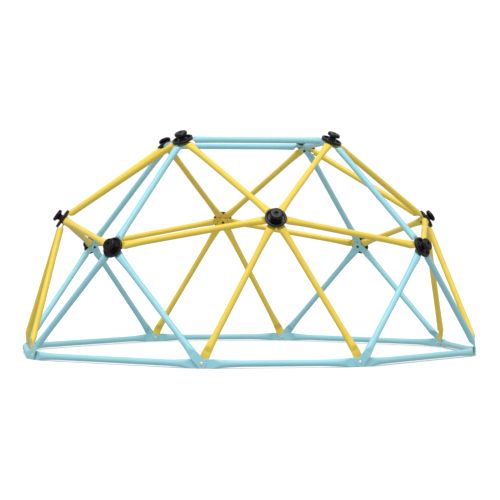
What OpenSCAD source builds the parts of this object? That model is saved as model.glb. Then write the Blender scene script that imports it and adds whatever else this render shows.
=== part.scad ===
// Dome climber: a half dome of bolted tubes with flattened ends, and a plastic
// disc and knob over every joint above the ground.
// The origin is the middle of the dome on the ground, +Z is up and the front is -Y.

/* [Dome] */
// Distance from the middle of the ground ring to the bolt holes of the blue frame
joint_r = 984; // [700:1:1100]
// Distance of the four side joints from the same point, as a share of joint_r
side_share = 0.978; // [0.92:0.001:1]

/* [Tubes] */
// Outside diameter of the tubes
tube_d = 25; // [20:0.5:30]
// Wall thickness of the tubes
tube_wall = 1; // [0.8:0.05:1.1]
// Width of the flattened tube ends
tab_w = 37; // [32:0.5:40]
// Thickness of the flattened tube ends
tab_t = 2.4; // [2.3:0.1:3.5]
// Distance from the bolt hole to the fold of the flattened end, above the ground
hub_reach = 38; // [36:1:50]
// The same distance at the joints on the ground
ground_reach = 46; // [45:1:60]
// Length over which the tube goes from the width of the flat end to round
flare_l = 75; // [50:1:100]
// Length over which the tube goes from the thickness of the flat end to full height
rise_l = 14; // [10:1:25]
// Diameter of the bolt holes
bolt_hole_d = 7; // [6.8:0.1:8]
// Diameter of the drain hole in the flattened ends above the ground
drain_d = 4; // [3:0.5:6]
// Distance from the bolt hole to the drain hole
drain_offset = 24; // [16:1:30]

/* [Discs and knobs] */
// Outside diameter of the discs
disc_d = 88; // [78:1:92]
// Thickness of the rim of the discs
disc_t = 11; // [8:0.5:12]
// Height of the foot under the discs, which holds their rims clear of the tubes
foot_h = 1; // [1:0.5:3]
// Diameter of the boss in the middle of the discs
boss_d = 27; // [22:0.5:30]
// Height of the boss above the tubes
boss_h = 18; // [16:0.5:22]
// Outside diameter of the knobs
knob_d = 54; // [46:1:60]
// Thickness of the knobs' heads
knob_t = 18; // [16:0.5:22]
// Diameter of the knobs' necks
neck_d = 28; // [26:0.5:34]
// Length of the knobs' necks
neck_l = 4; // [3:0.5:10]
// Diameter of the recess in the knobs
recess_d = 14; // [12:0.5:18]
// Depth of the recess in the knobs
recess_depth = 11; // [8:0.5:15]

/* [Bolts] */
// Diameter of the bolts
bolt_d = 6; // [5:0.5:6.5]
// Height of the nuts
nut_h = 5; // [4:0.5:7]
// Width of the nuts across the flats
nut_flats = 10; // [9.5:0.5:13]
// Length of bolt that shows past the nuts
bolt_tail = 3; // [1:0.5:6]

/* [Hidden] */
$fn = 64;
YELLOW = "gold";
BLUE = "skyblue";
BLACK = [0.09, 0.09, 0.1];
ZINC = "lightgrey";

// Parts that lie on each other keep this much air between them
air = 0.05;
// Solids that are joined into one piece run this far into each other
lap = 1;
// Small step between surfaces of one piece that would otherwise just touch
slip = 0.1;
tab_pitch = tab_t + air;
ground_z = tab_w / 2;

// The dome is half of a truncated octahedron, so these angles are fixed
top_el = atan(2);
side_el = atan(1 / sqrt(2));
corner_el = atan(1 / 2);
ground_offset = atan(1 / 3);

// Number of tube ends that are stacked on the bolt of each kind of joint
top_stack = 5;
side_stack = 6;
corner_stack = 5;
ground_stack = 4;

// A joint is [azimuth, elevation, distance from the middle, number of tube ends].
// Sides count from the front, anticlockwise seen from above; corner k follows side k.
function side_az(k) = 90 * k - 90;
function corner_az(k) = 90 * k - 45;
function top_joint(k) = [corner_az(k), top_el, joint_r, top_stack];
function side_joint(k) = [side_az(k), side_el, joint_r * side_share, side_stack];
function corner_joint(k) = [corner_az(k), corner_el, joint_r, corner_stack];
function ground_joint(k, hand) =
    [side_az(k) + hand * ground_offset, 0, joint_r, ground_stack];

TOP_JOINTS = [for (k = [0:3]) top_joint(k)];
SIDE_JOINTS = [for (k = [0:3]) side_joint(k)];
CORNER_JOINTS = [for (k = [0:3]) corner_joint(k)];
GROUND_JOINTS = [for (k = [0:3], hand = [-1, 1]) ground_joint(k, hand)];
HUB_JOINTS = concat(TOP_JOINTS, SIDE_JOINTS, CORNER_JOINTS);

SIDES = ["front", "right", "back", "left"];
CORNERS = ["front_right", "back_right", "back_left", "front_left"];
function hand_name(hand) = hand < 0 ? "left" : "right";
function flank(k, hand) = hand < 0 ? (k + 3) % 4 : k;

// Place of each tube end in its stack, counted from inside the dome
function spoke_level(base, hand) = base + (hand < 0 ? 0 : 1);

// A tube is [node name, colour, joint, level, joint, level]
TUBES = concat(
    [for (k = [0:3]) [str(SIDES[k], "_top_bar"), BLUE,
        top_joint(flank(k, -1)), 4, top_joint(k), 3]],
    [for (k = [0:3]) [str(CORNERS[k], "_rib"), BLUE,
        top_joint(k), 0, corner_joint(k), 2]],
    [for (k = [0:3], hand = [-1, 1]) [str(SIDES[k], "_upper_spoke_", hand_name(hand)), YELLOW,
        side_joint(k), spoke_level(4, hand), top_joint(flank(k, hand)), spoke_level(1, hand)]],
    [for (k = [0:3], hand = [-1, 1]) [str(SIDES[k], "_middle_spoke_", hand_name(hand)), YELLOW,
        side_joint(k), spoke_level(2, hand), corner_joint(flank(k, hand)), spoke_level(3, hand)]],
    [for (k = [0:3], hand = [-1, 1]) [str(SIDES[k], "_lower_spoke_", hand_name(hand)), YELLOW,
        side_joint(k), spoke_level(0, hand), ground_joint(k, hand), 1]],
    [for (k = [0:3], hand = [-1, 1]) [str(SIDES[k], "_leg_", hand_name(hand)), BLUE,
        corner_joint(flank(k, hand)), k % 2, ground_joint(k, hand), 3]],
    [for (k = [0:3]) [str(SIDES[k], "_ground_bar"), BLUE,
        ground_joint(k, -1), 2, ground_joint(k, 1), 2]],
    [for (k = [0:3]) [str(CORNERS[k], "_ground_bar"), BLUE,
        ground_joint(k, 1), 0, ground_joint((k + 1) % 4, -1), 0]]
);

function aim(joint) = [
    cos(joint[1]) * cos(joint[0]),
    cos(joint[1]) * sin(joint[0]),
    sin(joint[1])
];
// Height of a flat end above the middle of its stack, where the tubes' own axes meet
function lift(joint, level) = (level - (joint[3] - 1) / 2) * tab_pitch;
function on_ground(joint) = joint[1] == 0;
function reach(joint) = on_ground(joint) ? ground_reach : hub_reach;
function stack_outer(joint) = joint[2] + joint[3] * tab_pitch / 2;
function stack_inner(joint) = joint[2] - joint[3] * tab_pitch / 2;

// Puts a shape on a joint's bolt axis: its +Z points out of the dome
module on_joint(joint, r) {
    translate([0, 0, ground_z])
        rotate([0, 90 - joint[1], joint[0]])
            translate([0, 0, r])
                children();
}

// Flattened end on a bolt axis along Z, with the rest of the tube towards +X.
// inset shrinks every surface, and so makes the space inside the tube.
// The bead along the fold stands slip proud, so that no two surfaces only touch.
module tab(inset, reach) {
    half_w = tab_w / 2 - inset;
    thick = tab_t - 2 * inset;
    translate([0, 0, -thick / 2])
        linear_extrude(thick) {
            circle(half_w);
            translate([0, -half_w])
                square([reach, 2 * half_w]);
        }
    translate([reach, 0, 0])
        rotate([90, 0, 0])
            cylinder(h = 2 * half_w - 2 * slip, d = thick + 2 * slip, center = true);
}

// Length of tube that starts flat at the fold and is round at Z = flare_l: a cone that
// sets the width, cut by an outline that sets the height. fold is where the flat end
// meets it, as [towards the inside of the dome, along the tube]. Both run on into the
// straight tube, and the outline ends wider than it.
module flare(inset, fold) {
    flat_h = tab_t / 2 - inset;
    round_r = tube_d / 2 - inset;
    wide_r = tab_w / 2 - inset - 2 * slip;
    taper = (wide_r - round_r) / flare_l;
    start_z = -tab_t;
    end_z = flare_l + lap;
    full_h = round_r - 3 * slip;
    end_h = round_r + 5 * slip;
    intersection() {
        translate([0, 0, start_z])
            cylinder(
                h = end_z - start_z,
                r1 = wide_r - taper * start_z,
                r2 = wide_r - taper * end_z
            );
        rotate([90, 0, 0])
            linear_extrude(2 * tab_w, center = true)
                polygon([
                    [fold[0] - flat_h, fold[1]],
                    [fold[0] + flat_h, fold[1]],
                    [full_h, rise_l],
                    [end_h, end_z],
                    [-end_h, end_z],
                    [-full_h, rise_l]
                ]);
    }
}

module tube_end(inset, reach, bend, height) {
    translate([0, 0, height])
        tab(inset, reach);
    translate([reach, 0, 0])
        rotate([0, 90 + bend, 0])
            flare(inset, [-height * cos(bend), -height * sin(bend)]);
}

module end_holes(joint) {
    cylinder(h = 2 * tab_t, d = bolt_hole_d, center = true);
    if (!on_ground(joint))
        translate([drain_offset, 0, 0])
            cylinder(h = 2 * tab_t, d = drain_d, center = true);
}

// One tube between two joints. It is drawn in the plane of the two bolt axes, with
// the first axis along Z, and then turned to its place. Each end lies square to its
// own bolt axis, at its own height in the stack, and the straight tube runs from fold
// to fold at the middle height of both stacks.
module frame_tube(tube) {
    first = aim(tube[2]);
    second = aim(tube[4]);
    first_r = tube[2][2];
    second_r = tube[4][2];
    first_reach = reach(tube[2]);
    second_reach = reach(tube[4]);
    first_lift = lift(tube[2], tube[3]);
    second_lift = lift(tube[4], tube[5]);
    turn = acos(first * second);
    along = (second - (first * second) * first) / sin(turn);
    across = cross(first, along);
    rise = second_r * cos(turn) + second_reach * sin(turn) - first_r;
    run = second_r * sin(turn) - second_reach * cos(turn) - first_reach;
    first_bend = atan2(-rise, run);
    straight = norm([run, rise]) - 2 * (flare_l - lap);

    module first_end() {
        translate([0, 0, first_r])
            children();
    }
    module second_end() {
        rotate([0, turn, 0])
            translate([0, 0, second_r])
                rotate([0, 0, 180])
                    children();
    }
    module body(inset) {
        first_end()
            tube_end(inset, first_reach, first_bend, first_lift);
        second_end()
            tube_end(inset, second_reach, turn - first_bend, second_lift);
        first_end()
            translate([first_reach, 0, 0])
                rotate([0, 90 + first_bend, 0])
                    translate([0, 0, flare_l - lap])
                        cylinder(h = straight, d = tube_d - 2 * inset);
    }

    color(tube[1])
        translate([0, 0, ground_z])
            multmatrix([for (i = [0:2]) [along[i], across[i], first[i], 0]])
                difference() {
                    body(0);
                    body(tube_wall);
                    first_end()
                        translate([0, 0, first_lift])
                            end_holes(tube[2]);
                    second_end()
                        translate([0, 0, second_lift])
                            end_holes(tube[4]);
                }
}

// Disc that clamps the stack of tube ends. A foot in the middle stands on them, a groove
// runs inside the raised rim, and two rings step up to the boss that carries the knob.
module disc() {
    edge = 2;
    rim_w = 8;
    draft = 1;
    foot_r = 20;
    ring_r = 24;
    step_r = 18.5;
    disc_r = disc_d / 2;
    top_z = foot_h + disc_t;
    groove_z = foot_h + 3;
    ring_z = (groove_z + top_z) / 2;
    rotate_extrude()
        polygon([
            [bolt_hole_d / 2, 0],
            [foot_r, 0],
            [foot_r, foot_h],
            [disc_r - edge, foot_h],
            [disc_r, foot_h + edge],
            [disc_r, top_z - edge],
            [disc_r - edge, top_z],
            [disc_r - rim_w, top_z],
            [disc_r - rim_w - draft, groove_z],
            [ring_r, groove_z],
            [ring_r - draft, ring_z],
            [step_r, ring_z],
            [step_r - draft, top_z],
            [boss_d / 2, top_z],
            [boss_d / 2, boss_h],
            [bolt_hole_d / 2, boss_h]
        ]);
}

// Knob that stands on the boss, with a recess for the head of the bolt
module knob() {
    bevel = 4;
    cone_h = knob_t / 3;
    head_z = boss_h + air + neck_l;
    top_z = head_z + knob_t;
    difference() {
        rotate_extrude()
            polygon([
                [bolt_hole_d / 2, boss_h + air],
                [neck_d / 2, boss_h + air],
                [neck_d / 2, head_z],
                [knob_d / 2, head_z + cone_h],
                [knob_d / 2, top_z - bevel],
                [knob_d / 2 - bevel, top_z],
                [bolt_hole_d / 2, top_z]
            ]);
        translate([0, 0, top_z - recess_depth])
            cylinder(h = recess_depth + 1, d = recess_d);
    }
}

module socket_hex(depth) {
    cylinder(h = 2 * depth, d = 0.8 * bolt_d, center = true, $fn = 6);
}

// Socket screw whose head sits in the recess of a knob
module hub_bolt(stack) {
    head_h = bolt_d;
    head_z = boss_h + neck_l + knob_t - recess_depth + 2 * air;
    tail = stack * tab_pitch + nut_h + bolt_tail;
    difference() {
        union() {
            translate([0, 0, -tail])
                cylinder(h = tail + head_z + air, d = bolt_d);
            translate([0, 0, head_z])
                cylinder(h = head_h, d = 1.6 * bolt_d);
        }
        translate([0, 0, head_z + head_h])
            socket_hex(head_h / 2);
    }
}

// Round-headed bolt for the joints on the ground
module ground_bolt() {
    head_d = 15;
    head_h = 4.4;
    dome_r = (head_h * head_h + head_d * head_d / 4) / (2 * head_h);
    tail = ground_stack * tab_pitch + nut_h + bolt_tail;
    difference() {
        union() {
            translate([0, 0, -tail])
                cylinder(h = tail + head_h / 2, d = bolt_d);
            intersection() {
                translate([0, 0, head_h - dome_r])
                    sphere(dome_r);
                cylinder(h = 2 * head_h, d = 2 * head_d);
            }
        }
        translate([0, 0, head_h])
            socket_hex(head_h / 2);
    }
}

module nut() {
    translate([0, 0, -nut_h])
        difference() {
            cylinder(h = nut_h, d = nut_flats / cos(30), $fn = 6);
            translate([0, 0, -1])
                cylinder(h = nut_h + 2, d = bolt_d + 2 * air);
        }
}

module discs(joints) {
    color(BLACK)
        for (joint = joints)
            on_joint(joint, stack_outer(joint))
                disc();
}

module knobs(joints) {
    color(BLACK)
        for (joint = joints)
            on_joint(joint, stack_outer(joint))
                knob();
}

module hub_bolts() {
    color(BLACK)
        for (joint = HUB_JOINTS)
            on_joint(joint, stack_outer(joint))
                hub_bolt(joint[3]);
}

module hub_nuts() {
    color(BLACK)
        for (joint = HUB_JOINTS)
            on_joint(joint, stack_inner(joint))
                nut();
}

module ground_bolts() {
    color(ZINC)
        for (joint = GROUND_JOINTS)
            on_joint(joint, stack_outer(joint))
                ground_bolt();
}

module ground_nuts() {
    color(ZINC)
        for (joint = GROUND_JOINTS)
            on_joint(joint, stack_inner(joint))
                nut();
}

for (tube = TUBES)
    frame_tube(tube);
discs(TOP_JOINTS);  // top_discs
discs(SIDE_JOINTS);  // side_discs
discs(CORNER_JOINTS);  // corner_discs
knobs(TOP_JOINTS);  // top_knobs
knobs(SIDE_JOINTS);  // side_knobs
knobs(CORNER_JOINTS);  // corner_knobs
hub_bolts();
hub_nuts();
ground_bolts();
ground_nuts();
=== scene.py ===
"""Looks of the dome climber: a smooth mesh for every CAD node, in one of five materials."""
import math

import bmesh
import bpy
from mathutils import Matrix, Vector


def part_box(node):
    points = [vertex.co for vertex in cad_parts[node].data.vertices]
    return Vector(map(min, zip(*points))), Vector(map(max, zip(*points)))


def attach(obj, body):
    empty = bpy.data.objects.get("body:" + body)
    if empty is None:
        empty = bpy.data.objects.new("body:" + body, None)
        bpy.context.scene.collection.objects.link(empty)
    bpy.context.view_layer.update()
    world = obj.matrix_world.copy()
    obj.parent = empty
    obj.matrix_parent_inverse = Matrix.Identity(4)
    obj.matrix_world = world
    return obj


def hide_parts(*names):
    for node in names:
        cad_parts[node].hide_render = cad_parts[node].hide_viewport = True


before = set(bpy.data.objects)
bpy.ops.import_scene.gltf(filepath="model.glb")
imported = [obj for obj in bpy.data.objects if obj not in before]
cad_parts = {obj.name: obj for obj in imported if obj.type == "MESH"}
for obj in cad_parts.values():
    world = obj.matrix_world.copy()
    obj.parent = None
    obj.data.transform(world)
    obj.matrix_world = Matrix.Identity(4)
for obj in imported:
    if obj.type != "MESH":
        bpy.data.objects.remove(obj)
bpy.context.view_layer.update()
MM = 0.001

# ---------------------------------------------------------------- sizes in mm
# These follow the CAD model, apart from the four under their own comment below.
JOINT_R = 984.0
SIDE_SHARE = 0.978
TUBE_R = 12.5
TAB_HALF_W = 18.5
TAB_T = 2.4
HUB_REACH = 38.0
GROUND_REACH = 46.0
BOLT_HOLE_R = 3.5
DRAIN_R = 2.0
DRAIN_OFFSET = 24.0
AIR = 0.05
TAB_PITCH = TAB_T + AIR
DISC_R = 44.0
DISC_T = 11.0
FOOT_R = 20.0
FOOT_H = 1.0
BOSS_R = 13.5
BOSS_H = 18.0
KNOB_R = 27.0
KNOB_T = 18.0
NECK_R = 14.0
NECK_L = 4.0
RECESS_R = 7.0
RECESS_DEPTH = 11.0
BOLT_R = 3.0
NUT_H = 5.0
NUT_FLATS = 10.0
BOLT_TAIL = 3.0
GROUND_HEAD_R = 7.5
GROUND_HEAD_H = 4.4
SOCKET_FLATS = 4.2

# The smooth change from flat to round: lengths from the fold over which a tube gains its height
# at a raised joint and at a ground joint, and loses its extra width, and how fast it loses it
HUB_RISE_L = 15.0
GROUND_RISE_L = 26.0
TAPER_L = 120.0
TAPER_POWER = 1.9

# The tubes stand on the lower edges of the ground bars' flat ends
GROUND_Z = (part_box("front_ground_bar")[0].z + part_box("front_ground_bar")[1].z) / 2 / MM

# ---------------------------------------------------------------- joints and tubes
ELEVATION = {
    "top": math.atan(2), "side": math.atan(1 / math.sqrt(2)), "corner": math.atan(1 / 2), "ground": 0.0}
STACK = {"top": 5, "side": 6, "corner": 5, "ground": 4}
GROUND_OFFSET = math.atan(1 / 3)
SIDES = ("front", "right", "back", "left")
CORNERS = ("front_right", "back_right", "back_left", "front_left")
HANDS = {"left": -1, "right": 1}


class Joint:
    """A bolt axis: it points out of the dome from the middle of the ground ring."""

    def __init__(self, kind, k, hand=0):
        quarter = math.radians(90 * k - (90 if kind in ("side", "ground") else 45))
        azimuth = quarter + hand * GROUND_OFFSET
        elevation = ELEVATION[kind]
        self.kind = kind
        self.aim = Vector((math.cos(elevation) * math.cos(azimuth),
                           math.cos(elevation) * math.sin(azimuth),
                           math.sin(elevation)))
        self.sideways = Vector((-math.sin(azimuth), math.cos(azimuth), 0.0))
        self.radius = JOINT_R * (SIDE_SHARE if kind == "side" else 1.0)
        self.stack = STACK[kind]
        self.reach = GROUND_REACH if kind == "ground" else HUB_REACH
        self.rise_l = GROUND_RISE_L if kind == "ground" else HUB_RISE_L

    def lift(self, level):
        """Height of a flat end above the middle of its stack, where the tubes' own axes meet."""
        return (level - (self.stack - 1) / 2) * TAB_PITCH

    def outer(self):
        return self.radius + self.stack * TAB_PITCH / 2

    def inner(self):
        return self.radius - self.stack * TAB_PITCH / 2

    def place(self, distance):
        """Matrix that puts a shape on the bolt axis, its +Z pointing out of the dome."""
        up = self.aim.cross(self.sideways)
        spot = self.aim * distance + Vector((0, 0, GROUND_Z))
        return Matrix((
            (up.x, self.sideways.x, self.aim.x, spot.x),
            (up.y, self.sideways.y, self.aim.y, spot.y),
            (up.z, self.sideways.z, self.aim.z, spot.z),
            (0, 0, 0, 1)))


def flank(k, hand):
    """The corner on the given hand of side k, seen from outside."""
    return (k + 3) % 4 if hand < 0 else k


TOP = [Joint("top", k) for k in range(4)]
SIDE = [Joint("side", k) for k in range(4)]
CORNER = [Joint("corner", k) for k in range(4)]
GROUND = {(k, hand): Joint("ground", k, hand) for k in range(4) for hand in HANDS.values()}


def list_tubes():
    """Every tube as (node, slot, joint, level, joint, level)."""
    tubes = []
    for k in range(4):
        side, corner = SIDES[k], CORNERS[k]
        tubes.append((f"{side}_top_bar", "blue_powder_coat", TOP[flank(k, -1)], 4, TOP[k], 3))
        tubes.append((f"{corner}_rib", "blue_powder_coat", TOP[k], 0, CORNER[k], 2))
        tubes.append((f"{side}_ground_bar", "blue_powder_coat", GROUND[k, -1], 2, GROUND[k, 1], 2))
        tubes.append((f"{corner}_ground_bar", "blue_powder_coat",
                      GROUND[k, 1], 0, GROUND[(k + 1) % 4, -1], 0))
        for name, hand in HANDS.items():
            step = 0 if hand < 0 else 1
            c = flank(k, hand)
            tubes.append((f"{side}_upper_spoke_{name}", "yellow_powder_coat",
                          SIDE[k], 4 + step, TOP[c], 1 + step))
            tubes.append((f"{side}_middle_spoke_{name}", "yellow_powder_coat",
                          SIDE[k], 2 + step, CORNER[c], 3 + step))
            tubes.append((f"{side}_lower_spoke_{name}", "yellow_powder_coat",
                          SIDE[k], step, GROUND[k, hand], 1))
            tubes.append((f"{side}_leg_{name}", "blue_powder_coat",
                          CORNER[c], k % 2, GROUND[k, hand], 3))
    return tubes


# ---------------------------------------------------------------- tube meshes
# Every section is a stadium, two straight runs and two half circles, from the flat end to the
# round tube. A ring's points keep their share of the way round it.
FLAT_H = TAB_T / 2
FLAT_RUN = TAB_HALF_W - FLAT_H
FLAT_GIRTH = 4 * FLAT_RUN + 2 * math.pi * FLAT_H
ACROSS = 12
EDGE_STEPS = 6
END_STEPS = 16
FOLD = 2.5
FOLD_STEPS = 4
BODY_STEPS = 4
SHOULDER_STEPS = 7
TAPER_STEPS = 9


def girth_marks():
    """Places round the flat section, as lengths from the middle of its top."""
    top = [FLAT_RUN * (2 * i / ACROSS - 1) for i in range(ACROSS + 1)]
    turn = [FLAT_RUN + FLAT_H * math.pi * i / EDGE_STEPS for i in range(1, EDGE_STEPS)]
    half = FLAT_GIRTH / 2
    return top + turn + [half + a for a in top] + [half + a for a in turn]


MARKS = girth_marks()


def section_point(mark, half_width, half_height):
    """Point on the stadium of the given size that matches a mark on the flat one."""
    run = half_width - half_height
    arc = math.pi * half_height
    girth = 4 * run + 2 * arc
    length = (mark / FLAT_GIRTH * girth + run) % girth - run
    if length <= run:
        return length, half_height
    if length <= run + arc:
        angle = (length - run) / half_height
        return run + half_height * math.sin(angle), half_height * math.cos(angle)
    if length <= 3 * run + arc:
        return 2 * run + arc - length, -half_height
    angle = (length - 3 * run - arc) / half_height
    return -run - half_height * math.sin(angle), -half_height * math.cos(angle)


def half_width_at(distance):
    """Half the width of a tube at a distance from its fold: a long taper that eases out."""
    return TUBE_R + (TAB_HALF_W - TUBE_R) * max(0.0, 1 - distance / TAPER_L) ** TAPER_POWER


def taper_marks(rise_l):
    """Distances from a fold at which the end of a tube has a ring."""
    shoulder = [FOLD + (rise_l - FOLD) * i / SHOULDER_STEPS for i in range(1, SHOULDER_STEPS + 1)]
    taper = [rise_l + (TAPER_L - rise_l) * i / TAPER_STEPS for i in range(1, TAPER_STEPS + 1)]
    return shoulder + taper


def ease(t):
    """From 0 to 1, a straight ramp with its two ends eased."""
    return 0.45 * t + 0.55 * t * t * (3 - 2 * t)


def fold_path(start, angle_from, angle_to):
    """Centre line of a fold as [(x, z, angle)], with its corner at start."""
    half = (angle_to - angle_from) / 2
    reach = FOLD * math.tan(abs(half)) / abs(half) if half else FOLD
    x, z = start[0] - reach * math.cos(angle_from), start[1] + reach * math.sin(angle_from)
    path = [(x, z, angle_from)]
    step = 2 * FOLD / FOLD_STEPS
    for i in range(FOLD_STEPS):
        middle = angle_from + (angle_to - angle_from) * (i + 0.5) / FOLD_STEPS
        x, z = x + step * math.cos(middle), z - step * math.sin(middle)
        path.append((x, z, angle_from + (angle_to - angle_from) * (i + 1) / FOLD_STEPS))
    return path


class TubeMesh:
    """One tube, drawn in the plane of its two bolt axes: x along it, y across, z outwards."""

    def __init__(self):
        self.bm = bmesh.new()

    def vert(self, x, y, z):
        return self.bm.verts.new((x, y, z))

    def quad_strip(self, first, second, closed):
        count = len(first)
        for i in range(count if closed else count - 1):
            j = (i + 1) % count
            self.bm.faces.new((first[i], first[j], second[j], second[i]))

    def ring(self, x, z, angle, half_width, half_height):
        """A section whose centre is at x, z and whose tube points angle below +X."""
        verts = []
        for mark in MARKS:
            y, up = section_point(mark, half_width, half_height)
            verts.append(self.vert(x + up * math.sin(angle), y, z + up * math.cos(angle)))
        return verts

    def hole(self, loops, centre, radius, frame_of):
        """Fills both faces of a flat plate between a loop of edge vertices and a round hole.

        loops holds the upper and the lower loop, which match one to one.
        frame_of turns plate coordinates into drawing coordinates."""
        soft = 0.2
        collar = 1.2
        walls = []
        for sign, loop in zip((1, -1), loops):
            z = sign * FLAT_H
            spots = [(Vector(v["plate"]) - Vector(centre)) for v in loop]
            rings = [[v["vert"] for v in loop]]
            for share, rim in ((0.94, None), (0.0, radius + collar), (0.0, radius + soft)):
                ring = []
                for spot in spots:
                    out = spot * share if rim is None else spot.normalized() * rim
                    ring.append(self.vert(*frame_of(centre[0] + out.x, centre[1] + out.y, z)))
                rings.append(ring)
            edge = []
            for spot in spots:
                out = spot.normalized() * radius
                edge.append(self.vert(*frame_of(centre[0] + out.x, centre[1] + out.y, z - sign * soft)))
            rings.append(edge)
            for first, second in zip(rings, rings[1:]):
                if sign > 0:
                    self.quad_strip(first, second, True)
                else:
                    self.quad_strip(second, first, True)
            walls.append(edge)
        self.quad_strip(walls[0], walls[1], True)

    def tab(self, ring, frame_of, drained):
        """Flat end with a round tip, a bolt hole and perhaps a drain hole, grown from its root ring.

        Plate coordinates: the bolt hole is at 0, 0 and the tube is towards +x. A station on the
        edge is its x, the direction out of the plate, and how square it is cut."""
        patch = 9.0
        line_x = (DRAIN_OFFSET + patch, DRAIN_OFFSET - patch)
        side_x = [line_x[0]]
        for i in range(1, 5):
            side_x.append(line_x[0] + (line_x[1] - line_x[0]) * i / 4)
        for i in range(1, 4):
            side_x.append(line_x[1] * (1 - i / 3))
        top_ys = [FLAT_RUN * (2 * i / ACROSS - 1) for i in range(ACROSS + 1)]

        def edge_profile(cut):
            """(inset, z) round the edge, from the upper to the lower face. A cut edge is
            square with the seam of the two pressed walls in its middle."""
            seam = ((0.25, FLAT_H), (0.0, 0.9), (0.0, 0.25), (0.4, 0.0),
                    (0.0, -0.25), (0.0, -0.9), (0.25, -FLAT_H))
            points = []
            for i, (inset, z) in enumerate(seam):
                angle = math.pi * (0.5 - i / EDGE_STEPS)
                round_inset = FLAT_H * (1 - math.cos(angle))
                round_z = FLAT_H * math.sin(angle)
                points.append((inset * cut + round_inset * (1 - cut), z * cut + round_z * (1 - cut)))
            return points

        stations = []
        for x in side_x:
            stations.append((x, (0.0, 1.0), max(0.0, 1 - x / (line_x[1] * 2 / 3))))
        for i in range(1, END_STEPS):
            angle = math.pi * (0.5 + i / END_STEPS)
            stations.append((0.0, (math.cos(angle), math.sin(angle)), 1.0))
        for x in reversed(side_x):
            stations.append((x, (0.0, -1.0), max(0.0, 1 - x / (line_x[1] * 2 / 3))))

        columns = []
        for x, normal, cut in stations:
            column = []
            for inset, z in edge_profile(cut):
                plate = (x + normal[0] * (TAB_HALF_W - inset), normal[1] * (TAB_HALF_W - inset))
                column.append({"vert": self.vert(*frame_of(plate[0], plate[1], z)), "plate": plate})
            columns.append(column)

        # The root ring's own vertices, as the first and last columns
        n = ACROSS + 1
        e = EDGE_STEPS - 1
        top_root = ring[:n]
        right_root = ring[n:n + e]
        low_root = ring[n + e:2 * n + e]
        left_root = ring[2 * n + e:]
        first = [top_root[-1], *right_root, low_root[0]]
        last = [top_root[0], *reversed(left_root), low_root[-1]]
        strips = [first] + [[v["vert"] for v in c] for c in columns] + [last]
        for a, b in zip(strips, strips[1:]):
            self.quad_strip(b, a, False)

        # Lines across the plate at both ends of the drain hole's patch
        def line(x, station, face):
            """Vertices across the plate at x, from the -y side to the +y side."""
            z = FLAT_H if face == 0 else -FLAT_H
            right, left = columns[station][-face], columns[-1 - station][-face]
            verts = [left]
            for y in top_ys[1:-1]:
                verts.append({"vert": self.vert(*frame_of(x, y, z)), "plate": (x, y)})
            return verts + [right]

        loops_drain, loops_bolt = [], []
        for face in (0, 1):
            outer = line(line_x[0], 0, face)
            inner = line(line_x[1], 4, face)
            root = top_root if face == 0 else list(reversed(low_root))
            outer_verts = [v["vert"] for v in outer]
            if face == 0:
                self.quad_strip(outer_verts, root, False)
            else:
                self.quad_strip(root, outer_verts, False)
            right_between = [columns[i][-face] for i in range(1, 4)]
            left_between = [columns[-1 - i][-face] for i in range(1, 4)]
            if drained:
                loops_drain.append(
                    outer + right_between + list(reversed(inner)) + list(reversed(left_between)))
            else:
                self.plain_strip(outer, inner, left_between, right_between, face, frame_of)
            tip = [c[-face] for c in columns[5:-5]]
            loops_bolt.append(inner + tip)
        if drained:
            self.hole(loops_drain, (DRAIN_OFFSET, 0.0), DRAIN_R, frame_of)
        self.hole(loops_bolt, (0.0, 0.0), BOLT_HOLE_R, frame_of)

    def plain_strip(self, outer, inner, left, right, face, frame_of):
        """Fills the part of the plate between two lines across it, where there is no hole."""
        z = FLAT_H if face == 0 else -FLAT_H
        rows = [outer]
        for left_end, right_end in zip(left, right):
            row = [left_end]
            for v in outer[1:-1]:
                row.append({"vert": self.vert(*frame_of(left_end["plate"][0], v["plate"][1], z)),
                            "plate": (left_end["plate"][0], v["plate"][1])})
            rows.append(row + [right_end])
        rows.append(inner)
        for one, two in zip(rows, rows[1:]):
            first = [v["vert"] for v in (one if face == 0 else two)]
            second = [v["vert"] for v in (two if face == 0 else one)]
            self.quad_strip(second, first, False)


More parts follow.
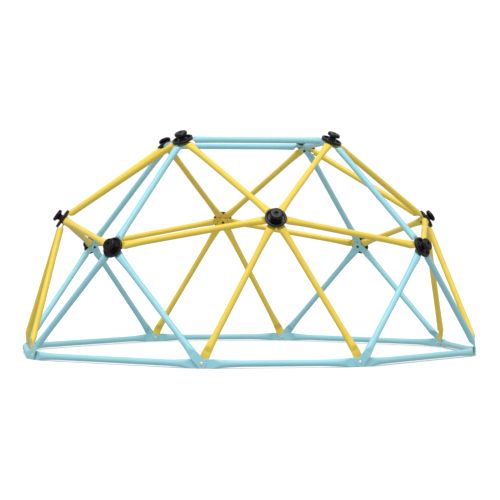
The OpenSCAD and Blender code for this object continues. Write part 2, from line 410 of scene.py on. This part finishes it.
def build_tube(first_joint, first_level, second_joint, second_level):
    """Mesh of a tube between two joints, in metres and in its place.

    The tubes' axes meet at the middle of each stack, so a flat end lies off its tube's axis."""
    a, b = first_joint.aim, second_joint.aim
    first_lift, second_lift = first_joint.lift(first_level), second_joint.lift(second_level)
    first_r, second_r = first_joint.radius, second_joint.radius
    turn = a.angle(b)
    along = (b - a * a.dot(b)).normalized()
    across = a.cross(along)

    def first_frame(x, y, z):
        return x, y, first_r + first_lift + z

    def second_frame(x, y, z):
        back, out = -x, second_r + second_lift + z
        return (back * math.cos(turn) + out * math.sin(turn),
                -y,
                -back * math.sin(turn) + out * math.cos(turn))

    first_end = (first_joint.reach, first_r)
    second_end = (second_r * math.sin(turn) - second_joint.reach * math.cos(turn),
                  second_r * math.cos(turn) + second_joint.reach * math.sin(turn))
    run, rise = second_end[0] - first_end[0], second_end[1] - first_end[1]
    bend = math.atan2(-rise, run)
    straight = math.hypot(run, rise)
    first_shift = (0.0, first_lift)
    second_shift = (second_lift * math.sin(turn), second_lift * math.cos(turn))

    tube = TubeMesh()
    entry = fold_path((first_end[0], first_end[1] + first_lift), 0.0, bend)
    leave = fold_path((second_end[0] + second_shift[0], second_end[1] + second_shift[1]), bend, turn)
    rings = [tube.ring(x, z, angle, TAB_HALF_W, FLAT_H) for x, z, angle in entry]
    middle = [TAPER_L + (straight - 2 * TAPER_L) * i / BODY_STEPS for i in range(1, BODY_STEPS)]
    leaving = [straight - mark for mark in reversed(taper_marks(second_joint.rise_l))]
    for length in taper_marks(first_joint.rise_l) + middle + leaving:
        near = min(length, straight - length)
        joint, shift = first_joint, first_shift
        if length > straight / 2:
            joint, shift = second_joint, second_shift
        risen = ease(min(1.0, (near - FOLD) / (joint.rise_l - FOLD)))
        x = first_end[0] + run * length / straight + shift[0] * (1 - risen)
        z = first_end[1] + rise * length / straight + shift[1] * (1 - risen)
        height = FLAT_H + (TUBE_R - FLAT_H) * risen
        rings.append(tube.ring(x, z, bend, max(half_width_at(near), height), height))
    rings += [tube.ring(x, z, angle, TAB_HALF_W, FLAT_H) for x, z, angle in leave]
    for one, two in zip(rings, rings[1:]):
        tube.quad_strip(one, two, True)
    tube.tab(rings[0], first_frame, first_joint.kind != "ground")

    # Seen from the second joint the same ring runs the other way across the tube
    n = ACROSS + 1
    e = EDGE_STEPS - 1
    last = rings[-1]
    flipped = (list(reversed(last[:n])) + list(reversed(last[2 * n + e:]))
               + list(reversed(last[n + e:2 * n + e])) + list(reversed(last[n:n + e])))
    tube.tab(flipped, second_frame, second_joint.kind != "ground")

    bm = tube.bm
    bmesh.ops.recalc_face_normals(bm, faces=bm.faces)
    place = Matrix((
        (along.x, across.x, a.x, 0),
        (along.y, across.y, a.y, 0),
        (along.z, across.z, a.z, GROUND_Z),
        (0, 0, 0, 1)))
    bmesh.ops.transform(bm, matrix=Matrix.Scale(MM, 4) @ place, verts=bm.verts)
    return bm


# ---------------------------------------------------------------- turned meshes
SEGMENTS = 72


def hex_radius(flats, angle):
    """Distance to the side of a hexagon with the given width across its flats."""
    sixth = math.pi / 3
    return flats / 2 / math.cos((angle % sixth) - sixth / 2)


def circle(radius, z):
    return lambda angle: (radius, z)


def hexagon(flats, z):
    return lambda angle: (hex_radius(flats, angle), z)


def bevelled_hexagon(flats, z, slope, flat_r):
    """Hexagon whose corners slope away from z outside flat_r, as a turned chamfer leaves them."""
    def edge(angle):
        radius = hex_radius(flats, angle)
        return radius, z + slope * (radius - flat_r)
    return edge


def rounded(points):
    """Profile through (r, z, rounding) points: each corner but the ends is rounded by its own."""
    steps = 4
    out = []
    for i, point in enumerate(points):
        here = Vector(point[:2])
        size = point[2]
        if i in (0, len(points) - 1) or size <= 0:
            out.append(here)
            continue
        before = Vector(points[i - 1][:2]) - here
        after = Vector(points[i + 1][:2]) - here
        reach = min(size, before.length * 0.45, after.length * 0.45)
        start = here + before.normalized() * reach
        end = here + after.normalized() * reach
        for j in range(steps + 1):
            t = j / steps
            out.append(start * (1 - t) ** 2 + here * 2 * t * (1 - t) + end * t ** 2)
    return [circle(p.x, p.y) for p in out]


def turn(bm, profile, place, closed, capped=False):
    """Turns a profile round +Z and puts it in place. A closed profile ends where it starts."""
    rings = []
    for edge in profile:
        ring = []
        for i in range(SEGMENTS):
            angle = 2 * math.pi * i / SEGMENTS
            r, z = edge(angle)
            spot = place @ Vector((r * math.cos(angle), r * math.sin(angle), z))
            ring.append(bm.verts.new(spot * MM))
        rings.append(ring)
    if closed:
        rings.append(rings[0])
    for one, two in zip(rings, rings[1:]):
        for i in range(SEGMENTS):
            j = (i + 1) % SEGMENTS
            bm.faces.new((one[i], one[j], two[j], two[i]))
    if capped:
        for ring, (edge, way) in ((rings[0], (profile[0], 1)), (rings[-1], (profile[-1], -1))):
            z = edge(0.0)[1]
            middle = bm.verts.new((place @ Vector((0, 0, z))) * MM)
            for i in range(SEGMENTS):
                j = (i + 1) % SEGMENTS
                bm.faces.new((ring[j], ring[i], middle) if way > 0 else (ring[i], ring[j], middle))


def turned_group(joints, distance, parts):
    """One mesh with the same turned parts on every joint. parts gives (profile, closed, capped)."""
    bm = bmesh.new()
    for joint in joints:
        place = joint.place(distance(joint))
        for profile, closed, capped in parts(joint):
            turn(bm, profile, place, closed, capped)
    bmesh.ops.recalc_face_normals(bm, faces=bm.faces)
    return bm


def disc_profile():
    """Disc with a foot, a fat rim, a deep groove and two rings that step up to the boss."""
    top = FOOT_H + DISC_T
    floor = FOOT_H + 3.0
    step = (floor + top) / 2
    rim_r = DISC_R - 8.0
    low_ring_r, high_ring_r = 24.0, 18.5
    draft = 1.0
    return rounded([
        (BOLT_HOLE_R, 0.0, 0.0),
        (FOOT_R, 0.0, 0.6),
        (FOOT_R, FOOT_H, 0.8),
        (DISC_R, FOOT_H, 2.4),
        (DISC_R, top, 3.0),
        (rim_r, top, 1.6),
        (rim_r - draft, floor, 1.5),
        (low_ring_r, floor, 1.5),
        (low_ring_r - draft, step, 1.0),
        (high_ring_r, step, 0.8),
        (high_ring_r - draft, top, 1.0),
        (BOSS_R, top, 0.8),
        (BOSS_R, BOSS_H, 0.6),
        (BOLT_HOLE_R, BOSS_H, 0.4),
        (BOLT_HOLE_R, 0.0, 0.0)])[:-1]


def knob_profile():
    """Grip knob: a neck, a head that widens outwards, a bevelled face and a recess."""
    low = BOSS_H + AIR
    head = low + NECK_L
    top = head + KNOB_T
    bevel = 4.0
    return rounded([
        (BOLT_HOLE_R, low, 0.0),
        (NECK_R, low, 0.6),
        (NECK_R, head, 1.2),
        (KNOB_R, head + KNOB_T / 3, 1.8),
        (KNOB_R, top - bevel, 1.6),
        (KNOB_R - bevel, top, 1.8),
        (RECESS_R, top, 1.0),
        (RECESS_R, top - RECESS_DEPTH, 0.0),
        (BOLT_HOLE_R, top - RECESS_DEPTH, 0.0),
        (BOLT_HOLE_R, low, 0.0)])[:-1]


def socket(flats, top, depth):
    """Profile of a hexagon socket, from its mouth to its floor."""
    mouth = flats / 2 / math.cos(math.pi / 6) + 0.3
    return [circle(mouth, top), hexagon(flats, top - 0.35), hexagon(flats, top - depth),
            circle(0.8, top - depth - 0.8)]


def shank(radius, start, tip):
    """Profile of a bolt's shank from its head down to its chamfered tip."""
    return [circle(radius, start), circle(radius, tip + 0.9), circle(radius - 0.8, tip)]


def hub_bolt_profile(joint):
    head = BOSS_H + NECK_L + KNOB_T - RECESS_DEPTH + 2 * AIR
    head_r, head_h = 1.6 * BOLT_R, 2 * BOLT_R
    tip = -(joint.stack * TAB_PITCH + NUT_H + BOLT_TAIL)
    top = head + head_h
    inside = list(reversed(socket(SOCKET_FLATS, top, head_h / 2)))
    outside = rounded([(3.0, top, 0.0), (head_r, top, 0.7), (head_r, head, 0.3), (BOLT_R, head, 0.0)])
    return [(inside + outside[1:] + shank(BOLT_R, head - 0.2, tip), False, True)]


def ground_bolt_profile(_joint):
    """Round-headed bolt: the head is a slice of a ball."""
    ball = (GROUND_HEAD_H ** 2 + GROUND_HEAD_R ** 2) / (2 * GROUND_HEAD_H)
    tip = -(STACK["ground"] * TAB_PITCH + NUT_H + BOLT_TAIL)
    flat_r = 3.2
    ball_z = GROUND_HEAD_H - ball
    top = ball_z + math.sqrt(ball ** 2 - flat_r ** 2)
    inside = list(reversed(socket(SOCKET_FLATS, top, GROUND_HEAD_H / 2)))
    dome = []
    steps = 10
    for i in range(steps + 1):
        r = flat_r + (GROUND_HEAD_R - 0.15 - flat_r) * i / steps
        dome.append(circle(r, ball_z + math.sqrt(ball ** 2 - r ** 2)))
    under = [circle(GROUND_HEAD_R - 0.25, 0.0), circle(BOLT_R, 0.0)]
    return [(inside + dome + under + shank(BOLT_R, -0.2, tip), False, True)]


def nut_profile(_joint):
    """Hexagon nut with turned chamfers and a countersunk hole."""
    hole = BOLT_R + AIR
    flat_r = NUT_FLATS / 2 - 0.25
    slope = 0.55
    low = -NUT_H
    profile = [
        circle(hole, -0.4), circle(hole + 0.5, 0.0), circle(flat_r, 0.0),
        bevelled_hexagon(NUT_FLATS, 0.0, -slope, flat_r),
        bevelled_hexagon(NUT_FLATS, low, slope, flat_r),
        circle(flat_r, low), circle(hole + 0.5, low), circle(hole, low + 0.4)]
    return [(profile, True, False)]


# ---------------------------------------------------------------- materials
def new_material(name):
    """Empty material with its tree, its shader and texture coordinates that stay on the object."""
    material = bpy.data.materials.new(name)
    material.use_nodes = True
    tree = material.node_tree
    shader = tree.nodes["Principled BSDF"]
    coords = tree.nodes.new("ShaderNodeTexCoord")
    return material, tree, shader, coords.outputs["Object"]


def noise(tree, coords, scale, detail, roughness=0.5):
    node = tree.nodes.new("ShaderNodeTexNoise")
    node.inputs["Scale"].default_value = scale
    node.inputs["Detail"].default_value = detail
    node.inputs["Roughness"].default_value = roughness
    tree.links.new(coords, node.inputs["Vector"])
    return node.outputs["Fac"]


def remap(tree, value, low, high, to_low, to_high):
    """Linear map of a value, clamped at both ends."""
    node = tree.nodes.new("ShaderNodeMapRange")
    for name, number in (("From Min", low), ("From Max", high), ("To Min", to_low), ("To Max", to_high)):
        node.inputs[name].default_value = number
    tree.links.new(value, node.inputs["Value"])
    return node.outputs["Result"]


def blend_colour(tree, factor, first, second):
    """Mix of two colours. Each is a socket or an RGB triple."""
    node = tree.nodes.new("ShaderNodeMix")
    node.data_type = "RGBA"
    tree.links.new(factor, node.inputs["Factor"])
    for socket, colour in ((node.inputs[6], first), (node.inputs[7], second)):
        if isinstance(colour, tuple):
            socket.default_value = (*colour, 1.0)
        else:
            tree.links.new(colour, socket)
    return node.outputs[2]


def bump(tree, height, strength, distance, below=None):
    node = tree.nodes.new("ShaderNodeBump")
    node.inputs["Strength"].default_value = strength
    node.inputs["Distance"].default_value = distance
    tree.links.new(height, node.inputs["Height"])
    if below is not None:
        tree.links.new(below, node.inputs["Normal"])
    return node.outputs["Normal"]


def edges(tree, low, high):
    """1 on sharp outer edges and 0 on flat surfaces."""
    geometry = tree.nodes.new("ShaderNodeNewGeometry")
    return remap(tree, geometry.outputs["Pointiness"], low, high, 0.0, 1.0)


def product(tree, first, second):
    node = tree.nodes.new("ShaderNodeMath")
    node.operation = "MULTIPLY"
    tree.links.new(first, node.inputs[0])
    tree.links.new(second, node.inputs[1])
    return node.outputs[0]


def powder_coat(name, colour, deep, worn):
    """Sprayed and baked paint: orange peel, soft clouds of colour and rubbed edges."""
    material, tree, shader, coords = new_material(name)
    clouds = remap(tree, noise(tree, coords, 7.0, 3.0), 0.35, 0.65, 0.0, 1.0)
    specks = remap(tree, noise(tree, coords, 900.0, 2.0), 0.3, 0.7, 0.0, 0.2)
    base = blend_colour(tree, clouds, colour, deep)
    base = blend_colour(tree, product(tree, specks, clouds), base, deep)
    rub = remap(tree, noise(tree, coords, 60.0, 4.0, 0.65), 0.45, 0.7, 0.0, 1.0)
    wear = product(tree, edges(tree, 0.62, 0.74), rub)
    base = blend_colour(tree, wear, base, worn)
    tree.links.new(base, shader.inputs["Base Color"])
    gloss = remap(tree, noise(tree, coords, 45.0, 3.0), 0.3, 0.7, 0.26, 0.40)
    tree.links.new(gloss, shader.inputs["Roughness"])
    peel = bump(tree, noise(tree, coords, 420.0, 2.0), 0.06, 0.0006)
    grit = bump(tree, noise(tree, coords, 2400.0, 1.0), 0.04, 0.0002, peel)
    tree.links.new(grit, shader.inputs["Normal"])
    shader.inputs["IOR"].default_value = 1.5
    shader.inputs["Specular IOR Level"].default_value = 0.3
    return material


def moulded_plastic(name):
    """Near-black plastic with a fine spark-eroded grain, and a grey painted highlight on its sharp
    edges.
    """
    material, tree, shader, coords = new_material(name)
    clouds = remap(tree, noise(tree, coords, 30.0, 4.0), 0.3, 0.7, 0.0, 1.0)
    base = blend_colour(tree, clouds, (0.0015, 0.0014, 0.0015), (0.0030, 0.0028, 0.0030))
    dust = remap(tree, noise(tree, coords, 220.0, 5.0, 0.7), 0.52, 0.75, 0.0, 0.4)
    base = blend_colour(tree, dust, base, (0.010, 0.0095, 0.010))
    # Painted highlight: sharp edges are blended to a lighter grey, standing in for the light their rims
    # catch
    base = blend_colour(tree, edges(tree, 0.52, 0.60), base, (0.10, 0.098, 0.096))
    tree.links.new(base, shader.inputs["Base Color"])
    gloss = remap(tree, noise(tree, coords, 120.0, 4.0), 0.3, 0.7, 0.20, 0.34)
    tree.links.new(gloss, shader.inputs["Roughness"])
    grain = bump(tree, noise(tree, coords, 1500.0, 2.0), 0.12, 0.0003)
    sink = bump(tree, noise(tree, coords, 45.0, 1.0), 0.10, 0.0010, grain)
    tree.links.new(sink, shader.inputs["Normal"])
    shader.inputs["Specular IOR Level"].default_value = 0.32
    return material


def plated_steel(name, colour, dark, metal, rough, streak):
    """Turned and plated steel: fine streaks, blotchy plating and a painted highlight on its corners."""
    material, tree, shader, coords = new_material(name)
    blotches = remap(tree, noise(tree, coords, 160.0, 4.0, 0.6), 0.35, 0.65, 0.0, 1.0)
    base = blend_colour(tree, blotches, colour, dark)
    # Painted highlight: sharp corners are blended to a lighter copy of the plating colour, standing in
    # for the light they catch
    corner_highlight = tuple(min(1.0, 1.5 * c + 0.04) for c in colour)
    base = blend_colour(tree, edges(tree, 0.52, 0.62), base, corner_highlight)
    tree.links.new(base, shader.inputs["Base Color"])
    gloss = remap(tree, noise(tree, coords, 300.0, 3.0), 0.3, 0.7, rough - 0.07, rough + 0.1)
    tree.links.new(gloss, shader.inputs["Roughness"])
    turned = bump(tree, noise(tree, coords, 2600.0, 2.0), streak, 0.0002)
    tree.links.new(turned, shader.inputs["Normal"])
    shader.inputs["Metallic"].default_value = metal
    return material


MATERIALS = {
    "yellow_powder_coat": powder_coat(
        "yellow_powder_coat", (0.85, 0.636, 0.079), (0.81, 0.60, 0.071), (0.87, 0.68, 0.13)),
    "blue_powder_coat": powder_coat(
        "blue_powder_coat", (0.33, 0.68, 0.765), (0.31, 0.65, 0.735), (0.42, 0.73, 0.80)),
    "black_plastic": moulded_plastic("black_plastic"),
    "black_steel": plated_steel(
        "black_steel", (0.045, 0.045, 0.048), (0.02, 0.02, 0.022), 0.6, 0.38, 0.15),
    "zinc_steel": plated_steel(
        "zinc_steel", (0.90, 0.91, 0.92), (0.78, 0.79, 0.81), 0.7, 0.34, 0.08),
}


# ---------------------------------------------------------------- pieces
SMOOTH_BELOW = math.radians(32)


def add_piece(node, slot, bm):
    """Object that stands for one CAD node."""
    mesh = bpy.data.meshes.new(f"{node}_piece")
    bm.to_mesh(mesh)
    bm.free()
    mesh.shade_smooth()
    mesh.set_sharp_from_angle(angle=SMOOTH_BELOW)
    piece = bpy.data.objects.new(f"{node}_piece", mesh)
    mesh.materials.append(MATERIALS[slot])
    bpy.context.scene.collection.objects.link(piece)
    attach(piece, "root")
    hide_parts(node)


def add_tubes():
    for node, slot, *ends in list_tubes():
        add_piece(node, slot, build_tube(*ends))


def add_discs_and_knobs():
    for name, joints in (("top", TOP), ("side", SIDE), ("corner", CORNER)):
        disc = turned_group(joints, Joint.outer, lambda joint: [(disc_profile(), True, False)])
        add_piece(f"{name}_discs", "black_plastic", disc)
        knob = turned_group(joints, Joint.outer, lambda joint: [(knob_profile(), True, False)])
        add_piece(f"{name}_knobs", "black_plastic", knob)


def add_fasteners():
    hubs = TOP + SIDE + CORNER
    ground = list(GROUND.values())
    add_piece("hub_bolts", "black_steel", turned_group(hubs, Joint.outer, hub_bolt_profile))
    add_piece("hub_nuts", "black_steel", turned_group(hubs, Joint.inner, nut_profile))
    add_piece("ground_bolts", "zinc_steel", turned_group(ground, Joint.outer, ground_bolt_profile))
    add_piece("ground_nuts", "zinc_steel", turned_group(ground, Joint.inner, nut_profile))


# ---------------------------------------------------------------- floor, lights and camera
def add_floor():
    """Pale studio floor, wide enough that its edge never shows.

    It takes shadows, but throws no light and no reflection back onto the frame."""
    material, tree, shader, coords = new_material("studio_floor")
    mottle = remap(tree, noise(tree, coords, 2.0, 2.0), 0.3, 0.7, 0.0, 1.0)
    pale = blend_colour(tree, mottle, (0.87, 0.87, 0.87), (0.89, 0.89, 0.89))
    tree.links.new(pale, shader.inputs["Base Color"])
    shader.inputs["Roughness"].default_value = 0.9
    shader.inputs["Specular IOR Level"].default_value = 0.0
    size = 40.0
    bm = bmesh.new()
    bmesh.ops.create_grid(bm, x_segments=1, y_segments=1, size=size)
    mesh = bpy.data.meshes.new("studio_floor")
    bm.to_mesh(mesh)
    bm.free()
    mesh.materials.append(material)
    floor = bpy.data.objects.new("studio_floor", mesh)
    bpy.context.scene.collection.objects.link(floor)
    floor.visible_diffuse = False
    floor.visible_glossy = False


def add_sun(name, strength, softness, azimuth, elevation):
    """Wide soft light from far away. Azimuth 0 comes from the front, and it grows to the right."""
    light = bpy.data.lights.new(name, "SUN")
    light.energy = strength
    light.angle = math.radians(softness)
    lamp = bpy.data.objects.new(name, light)
    lamp.rotation_euler = (math.radians(90 - elevation), 0.0, math.radians(azimuth))
    bpy.context.scene.collection.objects.link(lamp)


def add_world():
    """Surroundings that are pure white where the camera sees them and grey in reflections. As a
    light they are softer, and weaker below the horizon."""
    world = bpy.data.worlds.new("studio")
    world.use_nodes = True
    tree = world.node_tree
    background = tree.nodes["Background"]
    background.inputs["Color"].default_value = (1.0, 1.0, 1.0, 1.0)
    path = tree.nodes.new("ShaderNodeLightPath")
    coords = tree.nodes.new("ShaderNodeTexCoord")
    split = tree.nodes.new("ShaderNodeSeparateXYZ")
    tree.links.new(coords.outputs["Generated"], split.inputs[0])
    strength = remap(tree, split.outputs["Z"], -0.3, 0.6, 0.59, 0.88)
    for ray, seen in (("Is Glossy Ray", 0.50), ("Is Camera Ray", 1.05)):
        choice = tree.nodes.new("ShaderNodeMix")
        choice.data_type = "FLOAT"
        tree.links.new(path.outputs[ray], choice.inputs[0])
        tree.links.new(strength, choice.inputs[2])
        choice.inputs[3].default_value = seen
        strength = choice.outputs[0]
    tree.links.new(strength, background.inputs["Strength"])
    bpy.context.scene.world = world


def add_camera():
    """Long lens at the middle of the dome's height, a little left of its front."""
    camera = bpy.data.cameras.new("camera")
    camera.sensor_width = 36.0
    camera.lens = 140.80
    eye = bpy.data.objects.new("camera", camera)
    eye.location = (-1.2243, -8.4056, 0.5321)
    yaw, pitch = 8.386, 0.573
    eye.rotation_euler = (math.radians(90 - pitch), 0.0, math.radians(-yaw))
    bpy.context.scene.collection.objects.link(eye)
    bpy.context.scene.camera = eye


add_tubes()
add_discs_and_knobs()
add_fasteners()
add_floor()
add_world()
add_sun("key", 1.6, 35.0, -20.0, 68.0)
add_camera()
scene = bpy.context.scene
scene.view_settings.view_transform = "Standard"
scene.view_settings.look = "None"
